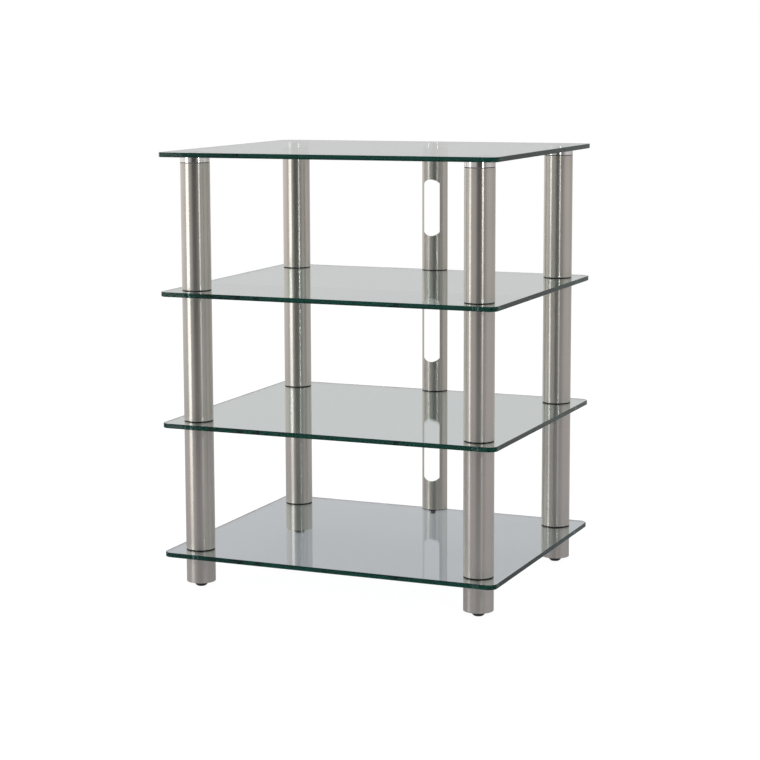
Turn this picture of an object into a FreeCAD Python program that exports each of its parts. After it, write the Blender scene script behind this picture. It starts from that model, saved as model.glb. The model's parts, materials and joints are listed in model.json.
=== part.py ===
import FreeCAD, Part
import math
import os
import Sketcher
from FreeCAD import Vector

# Free-standing glass equipment rack. Four glass shelves stand on round steel posts, which are
# joined through the glass by threaded studs. A slotted half-round column at the middle of the
# back carries the cables. X runs left to right, Y front to back and Z up, with the origin on
# the floor under the middle of the shelves.

# Driving dimensions in millimetres: name, value, what it measures.
DIMENSIONS = (
    ("glassWidth", 600, "shelf, left to right"),
    ("glassDepth", 505, "shelf, front to back"),
    ("glassThickness", 8, "shelf"),
    ("glassCornerRadius", 15, "shelf corner seen from above"),
    ("glassArris", 0.6, "ground bevel along the shelf's edges"),
    ("frontOverhang", 53, "front edge of the glass to the front post axes"),
    ("backOverhang", 48, "back edge of the glass to the back post axes"),
    ("sideOverhang", 46, "side edges of the glass to the post axes"),
    ("postDiameter", 50, "outside of the posts and legs"),
    ("postWall", 1.5, "wall of the posts and legs"),
    ("postLength", 214, "post between two gaskets"),
    ("legLength", 48, "leg tube under the bottom shelf"),
    ("gasketThickness", 1, "rubber between steel and glass"),
    ("gasketInset", 0.3, "gasket edge inside the edge of the post or column"),
    ("studHole", 12, "hole in glass and gasket for a post stud"),
    ("plugLength", 16, "threaded plug in a tube end"),
    ("plugEdge", 0.5, "bevel at both ends of a plug"),
    ("studDiameter", 8, "post stud"),
    ("studPoint", 1, "bevel at both ends of a post stud"),
    ("studEngagement", 14, "length of stud inside a plug"),
    ("discThickness", 10, "polished disc bonded under the top shelf"),
    ("discEdge", 0.4, "bevel at the lower edge of a disc"),
    ("discHoleDepth", 8, "blind thread in a disc"),
    ("discEngagement", 7, "length of stud inside a disc"),
    ("columnOffset", 4, "column axis right of the shelves' middle"),
    ("columnDiameter", 48, "outside of the half-round column"),
    ("columnWall", 1.5, "wall of the column"),
    ("slotWidth", 31, "cable slot"),
    ("slotLength", 111.5, "cable slot in the two lower shells, crown to crown"),
    ("upperSlotLength", 103, "cable slot in the upper shell, crown to crown"),
    ("slotEndRadius", 20, "arched end of the cable slot"),
    ("slotTop", 165, "top of the slot above the lower end of its shell"),
    ("plateThickness", 12, "half-round end plate in the column"),
    ("columnBoltSetback", 12, "column fixings in front of the column axis"),
    ("columnHole", 8, "hole in glass and gasket for a column fixing"),
    ("columnStudDiameter", 5, "column fixing"),
    ("columnStudPoint", 0.6, "bevel at the ends of a column stud"),
    ("columnEngagement", 9.5, "length of a column fixing inside a plate"),
    ("washerDiameter", 13, "washer under the bottom shelf"),
    ("washerThickness", 1.5, "washer under the bottom shelf"),
    ("washerClearance", 0.15, "washer around its screw"),
    ("headDiameter", 8.5, "head of the column screw"),
    ("headHeight", 5, "head of the column screw"),
    ("hexKey", 4, "key recess in the screw head, across flats"),
    ("hexKeyDepth", 2.5, "key recess in the screw head"),
    ("footThreadDiameter", 8, "threaded stud of a foot"),
    ("footThreadClearance", 0.08, "stud inside the thread of its leg plug"),
    ("footThreadLength", 28, "threaded stud above its flange"),
    ("footThreadPoint", 1, "bevel at the tip of a foot's stud"),
    ("flangeAcrossFlats", 13, "hexagon that turns the foot"),
    ("flangeThickness", 2, "hexagon that turns the foot"),
    ("neckDiameter", 5, "neck of the stud inside the pad"),
    ("buttonDiameter", 8, "button at the end of the stud, held in the pad"),
    ("buttonThickness", 1.8, "button at the end of the stud, held in the pad"),
    ("buttonClearance", 0.1, "pad around the neck and the button"),
    ("padHeight", 6.8, "domed pad"),
    ("padGap", 0.2, "top of the pad to the hexagon"),
    ("padDiameter", 23, "pad at its rim"),
    ("padFootDiameter", 14, "flat that stands on the floor"),
    ("padRim", 1.2, "straight rim above the dome"),
    ("padDomeRadius", 8, "arc of the dome's outline"),
    ("padFloor", 2.5, "pad under the button"),
)
SIZE = {name: value for name, value, note in DIMENSIONS}

# Corners of the rack: place in the post grid, left to right and front to back.
CORNERS = {
    "front_left": (0, 0),
    "front_right": (1, 0),
    "back_left": (0, 1),
    "back_right": (1, 1),
}
BAYS = ("lower", "middle", "upper")
SHELVES = ("bottom_shelf", "lower_shelf", "upper_shelf", "top_shelf")
TOP = len(SHELVES) - 1

# Places worked out from the driving dimensions.
POST_SPACING_X = "(dims.glassWidth - 2 * dims.sideOverhang)"
POST_SPACING_Y = "(dims.glassDepth - dims.frontOverhang - dims.backOverhang)"
LEFT_POST_X = "(-dims.glassWidth / 2 + dims.sideOverhang)"
FRONT_POST_Y = "(-dims.glassDepth / 2 + dims.frontOverhang)"
GLASS_BACK_Y = "(dims.glassDepth / 2)"
COLUMN_BOLT_Y = f"({GLASS_BACK_Y} - dims.columnBoltSetback)"
LEG_BASE = "(dims.padHeight + dims.padGap + dims.flangeThickness)"
BAY_PITCH = "(dims.glassThickness + dims.postLength + 2 * dims.gasketThickness)"
PLUG_RADIUS = "(dims.postDiameter / 2 - dims.postWall)"
PLATE_RADIUS = "(dims.columnDiameter / 2 - dims.columnWall)"
GASKET_DIAMETER = "(dims.postDiameter - 2 * dims.gasketInset)"
STUD_LENGTH = "(dims.glassThickness + 2 * dims.gasketThickness + 2 * dims.studEngagement)"
DISC_STUD_LENGTH = "(dims.studEngagement + dims.gasketThickness + dims.discEngagement)"
SHORT_COLUMN_STUD = "(dims.columnEngagement + dims.gasketThickness + dims.discEngagement)"
BUTTON_TOP = "(dims.padFloor + dims.buttonThickness)"

doc = FreeCAD.newDocument("equipment_rack")
sheet = doc.addObject("Spreadsheet::Sheet", "dims")
pieces = []


def fill_sheet():
    for row, (name, value, note) in enumerate(DIMENSIONS, 1):
        sheet.set(f"A{row}", name)
        sheet.set(f"B{row}", str(value))
        sheet.set(f"C{row}", note)
        sheet.setAlias(f"B{row}", name)
    doc.recompute()


def glass_under(level):
    """Height of a shelf's underside. The top shelf stands one disc higher than the pitch."""
    disc = " + dims.discThickness" if level == TOP else ""
    return f"({LEG_BASE} + dims.legLength + dims.gasketThickness + {level} * {BAY_PITCH}{disc})"


def glass_over(level):
    return f"({glass_under(level)} + dims.glassThickness)"


def post_base(bay):
    return f"({glass_over(bay)} + dims.gasketThickness)"


def post_top(bay):
    return f"({post_base(bay)} + dims.postLength)"


def post_x(across):
    return f"({LEFT_POST_X} + {across} * {POST_SPACING_X})"


def post_y(back):
    return f"({FRONT_POST_Y} + {back} * {POST_SPACING_Y})"


def new_body(name, x="0", y="0", z="0"):
    body = doc.addObject("PartDesign::Body", name)
    body.Label = name
    body.AllowCompound = True
    for axis, place in (("x", x), ("y", y), ("z", z)):
        body.setExpression(f"Placement.Base.{axis}", place)
    pieces.append(body)
    return body


def origin_feature(body, role):
    return next(feature for feature in body.Origin.OriginFeatures if feature.Role == role)


def new_sketch(body, name, role="XY_Plane"):
    sketch = body.newObject("Sketcher::SketchObject", name)
    sketch.AttachmentSupport = [(origin_feature(body, role), "")]
    sketch.MapMode = "FlatFace"
    return sketch


def bind(sketch, constraint, expression):
    sketch.setExpression(f"Constraints[{constraint}]", expression)


def place_point(sketch, edge, end, x, y):
    """Hold one end of an edge at an expression's place from the sketch origin."""
    for kind, axis, place in (("DistanceX", -2, x), ("DistanceY", -1, y)):
        if place == "0":
            sketch.addConstraint(Sketcher.Constraint("PointOnObject", edge, end, axis))
            continue
        constraint = sketch.addConstraint(Sketcher.Constraint(kind, -1, 1, edge, end, 1.0))
        bind(sketch, constraint, place)


def add_outline(sketch, corners):
    """Closed outline of straight edges. The corners start on a circle, and the bound
    distances from the origin then move them to their places."""
    count = len(corners)
    ring = [Vector(math.cos(math.tau * i / count), math.sin(math.tau * i / count), 0)
            for i in range(count)]
    for i in range(count):
        sketch.addGeometry(Part.LineSegment(ring[i], ring[(i + 1) % count]), False)
    for i in range(count):
        sketch.addConstraint(Sketcher.Constraint("Coincident", i, 2, (i + 1) % count, 1))
    for i, (x, y) in enumerate(corners):
        place_point(sketch, i, 1, x, y)


def add_circle(sketch, diameter, x="0", y="0"):
    edge = sketch.addGeometry(Part.Circle(Vector(), Vector(0, 0, 1), 1), False)
    place_point(sketch, edge, 3, x, y)
    constraint = sketch.addConstraint(Sketcher.Constraint("Diameter", edge, 2))
    bind(sketch, constraint, diameter)


def add_arc(sketch, centre, radius, start, end, expression):
    """Arc whose radius is bound. The angles, in degrees, are where it starts from."""
    circle = Part.Circle(centre, Vector(0, 0, 1), radius)
    arc = Part.ArcOfCircle(circle, math.radians(start), math.radians(end))
    edge = sketch.addGeometry(arc, False)
    constraint = sketch.addConstraint(Sketcher.Constraint("Radius", edge, radius))
    bind(sketch, constraint, expression)
    return edge


def join(sketch, first, first_end, second, second_end):
    sketch.addConstraint(Sketcher.Constraint("Coincident", first, first_end, second, second_end))


def half_round_sketch(body, name, outer, inner=None):
    """Front half of a disc or ring, with its straight side on the sketch's X axis."""
    sketch = new_sketch(body, name)
    radius = SIZE["columnDiameter"] / 2
    inside = radius - SIZE["columnWall"] if inner else 0
    big = add_arc(sketch, Vector(), radius, 180, 360, outer)
    sketch.addConstraint(Sketcher.Constraint("Coincident", big, 3, -1, 1))
    ends = [(big, 1), (big, 2)]
    if inner:
        small = add_arc(sketch, Vector(), inside, 180, 360, inner)
        sketch.addConstraint(Sketcher.Constraint("Coincident", small, 3, -1, 1))
        for side, end in ((-1, 1), (1, 2)):
            cut = Part.LineSegment(Vector(side * radius, 0, 0), Vector(side * inside, 0, 0))
            edge = sketch.addGeometry(cut, False)
            join(sketch, edge, 1, big, end)
            join(sketch, edge, 2, small, end)
        ends += [(small, 1), (small, 2)]
    else:
        flat = Part.LineSegment(Vector(-radius, 0, 0), Vector(radius, 0, 0))
        edge = sketch.addGeometry(flat, False)
        join(sketch, edge, 1, big, 1)
        join(sketch, edge, 2, big, 2)
    for edge, end in ends:
        sketch.addConstraint(Sketcher.Constraint("PointOnObject", edge, end, -1))
    return sketch


def pad(body, sketch, name, length):
    feature = body.newObject("PartDesign::Pad", name)
    feature.Profile = sketch
    feature.setExpression("Length", length)
    body.Tip = feature
    return feature


def revolve(body, sketch, name):
    feature = body.newObject("PartDesign::Revolution", name)
    feature.Profile = sketch
    feature.ReferenceAxis = (sketch, ["V_Axis"])
    feature.Angle = 360
    body.Tip = feature
    return feature


def pocket(body, sketch, name, length=None):
    """Cut along the sketch's own normal, where each of these bodies has its material."""
    doc.recompute()
    before = body.Shape.Volume
    feature = body.newObject("PartDesign::Pocket", name)
    feature.Profile = sketch
    feature.Reversed = True
    if length:
        feature.setExpression("Length", length)
    else:
        feature.Type = "ThroughAll"
    body.Tip = feature
    doc.recompute()
    if body.Shape.Volume >= before:
        raise RuntimeError(f"{body.Label}: {name} cuts nothing")
    return feature


def dress(body, kind, name, base, edges, size, expression):
    """Fillet or chamfer on the named edges of the feature before it."""
    feature = body.newObject(f"PartDesign::{kind}", name)
    feature.Base = (base, edges)
    feature.setExpression(size, expression)
    body.Tip = feature
    doc.recompute()
    return feature


def repeat(body, feature, steps):
    """Copy a feature once along each given axis, so n steps make 2 to the power n copies."""
    grid = body.newObject("PartDesign::MultiTransform", "grid")
    grid.Originals = [feature]
    patterns = []
    for axis, distance in steps:
        pattern = body.newObject("PartDesign::LinearPattern", f"along{axis[0]}")
        pattern.Direction = (origin_feature(body, axis), [""])
        pattern.setExpression("Length", distance)
        pattern.Occurrences = 2
        patterns.append(pattern)
    grid.Transformations = patterns
    body.Tip = grid


def repeat_at_posts(body, feature, *more):
    steps = (("X_Axis", POST_SPACING_X), ("Y_Axis", POST_SPACING_Y))
    repeat(body, feature, steps + more)


def edge_names(shape, wanted):
    return [f"Edge{i}" for i, edge in enumerate(shape.Edges, 1) if wanted(edge)]


def is_upright(edge):
    return edge.BoundBox.ZLength > edge.BoundBox.XLength + edge.BoundBox.YLength


def is_level(edge):
    return edge.BoundBox.ZLength < edge.BoundBox.XLength + edge.BoundBox.YLength


def make_shelf(level):
    """Glass sheet with rounded corners and ground edges, drilled for the studs."""
    body = new_body(SHELVES[level], z=glass_under(level))
    outline = new_sketch(body, "outline")
    half_width = "dims.glassWidth / 2"
    half_depth = "dims.glassDepth / 2"
    add_outline(outline, (
        (f"-{half_width}", f"-{half_depth}"),
        (half_width, f"-{half_depth}"),
        (half_width, half_depth),
        (f"-{half_width}", half_depth),
    ))
    sheet_of_glass = pad(body, outline, "sheet", "dims.glassThickness")
    doc.recompute()
    corners = edge_names(sheet_of_glass.Shape, is_upright)
    rounded = dress(body, "Fillet", "corners", sheet_of_glass, corners,
                    "Radius", "dims.glassCornerRadius")
    rims = edge_names(rounded.Shape, is_level)
    dress(body, "Chamfer", "arris", rounded, rims, "Size", "dims.glassArris")
    if level == TOP:
        return
    holes = new_sketch(body, "holes")
    for across, back in CORNERS.values():
        add_circle(holes, "dims.studHole", post_x(across), post_y(back))
    add_circle(holes, "dims.columnHole", "dims.columnOffset", COLUMN_BOLT_Y)
    pocket(body, holes, "drilling")


def make_tube(name, across, back, base, length):
    body = new_body(name, post_x(across), post_y(back), base)
    section = new_sketch(body, "section")
    add_circle(section, "dims.postDiameter")
    add_circle(section, f"2 * {PLUG_RADIUS}")
    pad(body, section, "tube", length)


def make_gaskets(name, base):
    body = new_body(name, LEFT_POST_X, FRONT_POST_Y, base)
    section = new_sketch(body, "section")
    add_circle(section, GASKET_DIAMETER)
    add_circle(section, "dims.studHole")
    repeat_at_posts(body, pad(body, section, "gasket", "dims.gasketThickness"))


def make_plugs(name, base, bore, *rise):
    """Round plugs pressed into the tube ends, with a thread through each."""
    body = new_body(name, LEFT_POST_X, FRONT_POST_Y, base)
    outline = new_sketch(body, "outline", "XZ_Plane")
    edge = f"{PLUG_RADIUS} - dims.plugEdge"
    add_outline(outline, (
        (bore, "0"),
        (edge, "0"),
        (PLUG_RADIUS, "dims.plugEdge"),
        (PLUG_RADIUS, "dims.plugLength - dims.plugEdge"),
        (edge, "dims.plugLength"),
        (bore, "dims.plugLength"),
    ))
    repeat_at_posts(body, revolve(body, outline, "plug"), *rise)


def stud_feature(body, name, diameter, point, length, base="0"):
    """Plain round stud with bevelled ends, standing on the given height."""
    outline = new_sketch(body, f"{name}_outline", "XZ_Plane")
    radius = f"{diameter} / 2"
    add_outline(outline, (
        ("0", base),
        (f"{radius} - {point}", base),
        (radius, f"{base} + {point}"),
        (radius, f"{base} + {length} - {point}"),
        (f"{radius} - {point}", f"{base} + {length}"),
        ("0", f"{base} + {length}"),
    ))
    return revolve(body, outline, name)


def make_post_studs(name, base, length):
    body = new_body(name, LEFT_POST_X, FRONT_POST_Y, base)
    stud = stud_feature(body, "stud", "dims.studDiameter", "dims.studPoint", length)
    repeat_at_posts(body, stud)


def make_disc(name, across, back):
    """Polished disc bonded to the glass, with a blind thread in its lower face."""
    base = f"{glass_under(TOP)} - dims.discThickness"
    body = new_body(name, post_x(across), post_y(back), base)
    outline = new_sketch(body, "outline", "XZ_Plane")
    bore = "dims.studDiameter / 2"
    rim = "dims.postDiameter / 2"
    add_outline(outline, (
        (bore, "0"),
        (f"{rim} - dims.discEdge", "0"),
        (rim, "dims.discEdge"),
        (rim, "dims.discThickness"),
        ("0", "dims.discThickness"),
        ("0", "dims.discHoleDepth"),
        (bore, "dims.discHoleDepth"),
    ))
    revolve(body, outline, "disc")


def make_half_disc():
    base = f"{glass_under(TOP)} - dims.discThickness"
    body = new_body("top_half_disc", "dims.columnOffset", GLASS_BACK_Y, base)
    outline = half_round_sketch(body, "outline", "dims.columnDiameter / 2")
    pad(body, outline, "half_disc", "dims.discThickness")
    hole = new_sketch(body, "hole")
    add_circle(hole, "dims.columnStudDiameter", "0", "-dims.columnBoltSetback")
    pocket(body, hole, "thread", "dims.discHoleDepth")


def make_column(bay):
    """Half-round shell, open to the back, with one cable slot in its front."""
    name = f"{BAYS[bay]}_column"
    body = new_body(name, "dims.columnOffset", GLASS_BACK_Y, post_base(bay))
    section = half_round_sketch(body, "section", "dims.columnDiameter / 2", PLATE_RADIUS)
    pad(body, section, "shell", "dims.postLength")
    slot = new_sketch(body, "slot_outline", "XZ_Plane")
    add_slot(slot, "upperSlotLength" if bay == TOP - 1 else "slotLength")
    pocket(body, slot, "slot")


def add_slot(sketch, length):
    """Upright sides joined by two shallow arches, the upper one at the same height in each."""
    half_width = SIZE["slotWidth"] / 2
    radius = SIZE["slotEndRadius"]
    shoulder = math.degrees(math.asin(half_width / radius))
    high = SIZE["slotTop"] - radius
    low = SIZE["slotTop"] - SIZE[length] + radius
    centres = (
        (0, high, "dims.slotTop - dims.slotEndRadius"),
        (180, low, f"dims.slotTop - dims.{length} + dims.slotEndRadius"),
    )
    arches = []
    for turn, centre, expression in centres:
        arch = add_arc(sketch, Vector(0, centre, 0), radius, 90 - shoulder + turn,
                       90 + shoulder + turn, "dims.slotEndRadius")
        sketch.addConstraint(Sketcher.Constraint("PointOnObject", arch, 3, -2))
        height = sketch.addConstraint(Sketcher.Constraint("DistanceY", -1, 1, arch, 3, centre))
        bind(sketch, height, expression)
        arches.append(arch)
    upper, lower = arches
    rise = radius * math.cos(math.radians(shoulder))
    for side, top_end, low_end in ((1, 1, 2), (-1, 2, 1)):
        top_corner = Vector(side * half_width, high + rise, 0)
        low_corner = Vector(side * half_width, low - rise, 0)
        edge = sketch.addGeometry(Part.LineSegment(top_corner, low_corner), False)
        join(sketch, edge, 1, upper, top_end)
        join(sketch, edge, 2, lower, low_end)
        sketch.addConstraint(Sketcher.Constraint("Vertical", edge))
        width = sketch.addConstraint(
            Sketcher.Constraint("DistanceX", -1, 1, edge, 1, side * half_width))
        bind(sketch, width, f"{side} * dims.slotWidth / 2")


def make_column_plates(bay):
    name = f"{BAYS[bay]}_column_plates"
    body = new_body(name, "dims.columnOffset", GLASS_BACK_Y, post_base(bay))
    outline = half_round_sketch(body, "outline", PLATE_RADIUS)
    add_circle(outline, "dims.columnStudDiameter", "0", "-dims.columnBoltSetback")
    plate = pad(body, outline, "plate", "dims.plateThickness")
    repeat(body, plate, (("Z_Axis", "dims.postLength - dims.plateThickness"),))


def make_column_gaskets():
    """One half gasket at each end of each shell, six in all."""
    body = new_body("column_gaskets", "dims.columnOffset", GLASS_BACK_Y, glass_over(0))
    outline = half_round_sketch(body, "outline", "dims.columnDiameter / 2 - dims.gasketInset")
    add_circle(outline, "dims.columnHole", "0", "-dims.columnBoltSetback")
    gasket = pad(body, outline, "gasket", "dims.gasketThickness")
    grid = body.newObject("PartDesign::MultiTransform", "stack")
    grid.Originals = [gasket]
    shell = body.newObject("PartDesign::LinearPattern", "shell_ends")
    shell.Direction = (origin_feature(body, "Z_Axis"), [""])
    shell.setExpression("Length", "dims.postLength + dims.gasketThickness")
    shell.Occurrences = 2
    bays = body.newObject("PartDesign::LinearPattern", "bays")
    bays.Direction = (origin_feature(body, "Z_Axis"), [""])
    bays.setExpression("Length", f"{len(BAYS) - 1} * {BAY_PITCH}")
    bays.Occurrences = len(BAYS)
    grid.Transformations = [shell, bays]
    body.Tip = grid


def make_column_studs():
    """Studs through the two middle shelves, and a short one into the half disc."""
    body = new_body("column_studs", "dims.columnOffset", COLUMN_BOLT_Y, "0")
    size = ("dims.columnStudDiameter", "dims.columnStudPoint")
    through = "(dims.glassThickness + 2 * dims.gasketThickness + 2 * dims.columnEngagement)"
    for level in range(1, TOP):
        base = f"({post_top(level - 1)} - dims.columnEngagement)"
        stud_feature(body, f"{SHELVES[level]}_stud", *size, through, base)
    top_base = f"({post_top(TOP - 1)} - dims.columnEngagement)"
    stud_feature(body, "top_stud", *size, SHORT_COLUMN_STUD, top_base)


def hexagon(across_flats):
    corner = f"{across_flats} / sqrt(3)"
    flat = f"{across_flats} / 2"
    return (
        (corner, "0"),
        (f"{corner} / 2", flat),
        (f"-{corner} / 2", flat),
        (f"-{corner}", "0"),
        (f"-{corner} / 2", f"-{flat}"),
        (f"{corner} / 2", f"-{flat}"),
    )


def make_column_screw():
    """Socket screw that comes up through the bottom shelf into the lowest end plate."""
    washer_under = f"{glass_under(0)} - dims.washerThickness"
    base = f"{washer_under} - dims.headHeight"
    body = new_body("column_screw", "dims.columnOffset", COLUMN_BOLT_Y, base)
    outline = new_sketch(body, "outline", "XZ_Plane")
    head = "dims.headDiameter / 2"
    shank = "dims.columnStudDiameter / 2"
    tip = ("(dims.headHeight + dims.washerThickness + dims.glassThickness"
           " + dims.gasketThickness + dims.columnEngagement)")
    add_outline(outline, (
        ("0", "0"),
        (head, "0"),
        (head, "dims.headHeight"),
        (shank, "dims.headHeight"),
        (shank, f"{tip} - dims.columnStudPoint"),
        (f"{shank} - dims.columnStudPoint", tip),
        ("0", tip),
    ))
    revolve(body, outline, "screw")
    recess = new_sketch(body, "recess")
    add_outline(recess, hexagon("dims.hexKey"))
    pocket(body, recess, "key_recess", "dims.hexKeyDepth")


def make_column_washer():
    base = f"{glass_under(0)} - dims.washerThickness"
    body = new_body("column_washer", "dims.columnOffset", COLUMN_BOLT_Y, base)
    section = new_sketch(body, "section")
    add_circle(section, "dims.washerDiameter")
    add_circle(section, "dims.columnStudDiameter + 2 * dims.washerClearance")
    pad(body, section, "washer", "dims.washerThickness")


def make_foot_stud(name, across, back):
    """Threaded stud with a hexagon, a neck and a button that turns inside the pad."""
    body = new_body(name, post_x(across), post_y(back), "0")
    outline = new_sketch(body, "outline", "XZ_Plane")
    button = "dims.buttonDiameter / 2"
    neck = "dims.neckDiameter / 2"
    thread = "dims.footThreadDiameter / 2"
    tip = f"({LEG_BASE} + dims.footThreadLength)"
    flange_under = f"{LEG_BASE} - dims.flangeThickness"
    add_outline(outline, (
        ("0", "dims.padFloor"),
        (button, "dims.padFloor"),
        (button, BUTTON_TOP),
        (neck, BUTTON_TOP),
        (neck, flange_under),
        (thread, flange_under),
        (thread, f"{tip} - dims.footThreadPoint"),
        (f"{thread} - dims.footThreadPoint", tip),
        ("0", tip),
    ))
    revolve(body, outline, "stud")
    flange = new_sketch(body, "flange_outline")
    flange.setExpression("AttachmentOffset.Base.z", flange_under)
    add_outline(flange, hexagon("dims.flangeAcrossFlats"))
    pad(body, flange, "flange", "dims.flangeThickness")


def make_foot_pad(name, across, back):
    """Domed pad moulded round the stud's button, which is free to turn in it."""
    body = new_body(name, post_x(across), post_y(back), "0")
    dome = new_sketch(body, "dome_outline", "XZ_Plane")
    foot = SIZE["padFootDiameter"] / 2
    rim = SIZE["padDiameter"] / 2
    shoulder = SIZE["padHeight"] - SIZE["padRim"]
    low = Vector(foot, 0, 0)
    high = Vector(rim, shoulder, 0)
    chord = high - low
    radius = SIZE["padDomeRadius"]
    offset = math.sqrt(radius ** 2 - chord.Length ** 2 / 4)
    centre = (low + high) / 2 + Vector(-chord.y, chord.x, 0) * (offset / chord.Length)
    start = math.degrees(math.atan2(low.y - centre.y, low.x - centre.x))
    end = math.degrees(math.atan2(high.y - centre.y, high.x - centre.x))
    arc = add_arc(dome, centre, radius, start, end, "dims.padDomeRadius")
    top = Vector(rim, SIZE["padHeight"], 0)
    middle = Vector(0, SIZE["padHeight"], 0)
    for edge_start, edge_end in ((high, top), (top, middle), (middle, Vector()), (Vector(), low)):
        dome.addGeometry(Part.LineSegment(edge_start, edge_end), False)
    side, cover, axis, floor = range(arc + 1, arc + 5)
    join(dome, arc, 2, side, 1)
    join(dome, side, 2, cover, 1)
    join(dome, cover, 2, axis, 1)
    join(dome, axis, 2, floor, 1)
    join(dome, floor, 2, arc, 1)
    place_point(dome, arc, 1, "dims.padFootDiameter / 2", "0")
    place_point(dome, side, 1, "dims.padDiameter / 2", "dims.padHeight - dims.padRim")
    place_point(dome, cover, 1, "dims.padDiameter / 2", "dims.padHeight")
    place_point(dome, axis, 1, "0", "dims.padHeight")
    place_point(dome, floor, 1, "0", "0")
    revolve(body, dome, "dome")
    socket = new_sketch(body, "socket_outline", "XZ_Plane")
    cavity = "dims.buttonDiameter / 2 + dims.buttonClearance"
    mouth = "dims.neckDiameter / 2 + dims.buttonClearance"
    roof = f"{BUTTON_TOP} + dims.buttonClearance"
    add_outline(socket, (
        ("0", "dims.padFloor"),
        (cavity, "dims.padFloor"),
        (cavity, roof),
        (mouth, roof),
        (mouth, "dims.padHeight"),
        ("0", "dims.padHeight"),
    ))
    groove = body.newObject("PartDesign::Groove", "socket")
    groove.Profile = socket
    groove.ReferenceAxis = (socket, ["V_Axis"])
    groove.Angle = 360
    body.Tip = groove


def make_rack():
    for level in range(len(SHELVES)):
        make_shelf(level)
    for corner, place in CORNERS.items():
        make_tube(f"leg_{corner}", *place, LEG_BASE, "dims.legLength")
        for bay, bay_name in enumerate(BAYS):
            make_tube(f"{bay_name}_post_{corner}", *place, post_base(bay), "dims.postLength")
        make_disc(f"top_disc_{corner}", *place)
        make_foot_stud(f"foot_stud_{corner}", *place)
        make_foot_pad(f"foot_pad_{corner}", *place)
    for level, shelf in enumerate(SHELVES[:TOP]):
        under = f"{glass_under(level)} - dims.gasketThickness"
        make_gaskets(f"{shelf}_under_gaskets", under)
        make_gaskets(f"{shelf}_over_gaskets", glass_over(level))
        make_post_studs(f"{shelf}_studs", f"{under} - dims.studEngagement", STUD_LENGTH)
    make_gaskets("top_disc_gaskets", post_top(TOP - 1))
    top_stud_base = f"{post_top(TOP - 1)} - dims.studEngagement"
    make_post_studs("top_disc_studs", top_stud_base, DISC_STUD_LENGTH)
    fixed_bore = "dims.studDiameter / 2"
    foot_bore = "dims.footThreadDiameter / 2 + dims.footThreadClearance"
    leg_top = f"{LEG_BASE} + dims.legLength - dims.plugLength"
    make_plugs("leg_foot_plugs", LEG_BASE, foot_bore)
    make_plugs("leg_top_plugs", leg_top, fixed_bore)
    other_end = ("Z_Axis", "dims.postLength - dims.plugLength")
    for bay, bay_name in enumerate(BAYS):
        make_plugs(f"{bay_name}_post_plugs", post_base(bay), fixed_bore, other_end)
        make_column(bay)
        make_column_plates(bay)
    make_half_disc()
    make_column_gaskets()
    make_column_studs()
    make_column_screw()
    make_column_washer()


def check_and_export():
    doc.recompute()
    for item in doc.Objects:
        if {"Invalid", "Error"} & set(item.State):
            raise RuntimeError(f"{item.Label}: {item.State}")
    for body in pieces:
        if body.Shape.isNull() or not body.Shape.isValid():
            raise RuntimeError(f"{body.Label}: no valid shape")
    os.makedirs("parts", exist_ok=True)
    for body in pieces:
        body.Shape.exportStep(f"parts/{body.Label}.step")


fill_sheet()
make_rack()
check_and_export()
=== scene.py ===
import json
import math
import bmesh
import bpy
from mathutils import Matrix, Vector


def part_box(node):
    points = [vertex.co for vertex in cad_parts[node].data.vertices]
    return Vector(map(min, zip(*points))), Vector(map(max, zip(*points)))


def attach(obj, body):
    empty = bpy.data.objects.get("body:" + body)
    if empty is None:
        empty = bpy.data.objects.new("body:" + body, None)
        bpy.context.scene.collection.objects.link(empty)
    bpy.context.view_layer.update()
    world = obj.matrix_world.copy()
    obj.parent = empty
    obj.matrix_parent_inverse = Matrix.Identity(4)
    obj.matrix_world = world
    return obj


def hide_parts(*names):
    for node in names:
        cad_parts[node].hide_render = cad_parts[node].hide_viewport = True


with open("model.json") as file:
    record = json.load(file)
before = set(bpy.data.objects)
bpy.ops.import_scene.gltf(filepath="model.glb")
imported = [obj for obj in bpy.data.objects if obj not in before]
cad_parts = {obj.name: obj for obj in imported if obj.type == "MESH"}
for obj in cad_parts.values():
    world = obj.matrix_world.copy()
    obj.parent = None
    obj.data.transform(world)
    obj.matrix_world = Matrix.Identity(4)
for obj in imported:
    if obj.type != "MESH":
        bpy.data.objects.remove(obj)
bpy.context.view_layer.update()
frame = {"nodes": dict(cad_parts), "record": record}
print("frame loaded:", len(frame["nodes"]), "nodes")

corners = ("front_left", "front_right", "back_left", "back_right")
bays = ("lower", "middle", "upper")
shelfNames = ("bottom_shelf", "lower_shelf", "upper_shelf", "top_shelf")
mm = 0.001


class Wire:  # one output of a node; sums and products of wires add Math nodes
    def __init__(self, graph, socket):
        self.graph = graph
        self.socket = socket

    def out(self, name):
        return Wire(self.graph, self.socket.node.outputs[name])

    def maths(self, operation, *values):
        return self.graph.maths(operation, self, *values)

    def __add__(self, other):
        return self.maths("ADD", other)

    __radd__ = __add__

    def __mul__(self, other):
        return self.maths("MULTIPLY", other)

    __rmul__ = __mul__

    def __sub__(self, other):
        return self.maths("SUBTRACT", other)

    def __rsub__(self, other):
        return self.graph.maths("SUBTRACT", other, self)

    def __truediv__(self, other):
        return self.maths("DIVIDE", other)

    def __rtruediv__(self, other):
        return self.graph.maths("DIVIDE", other, self)

    def __abs__(self):
        return self.maths("ABSOLUTE")


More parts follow.
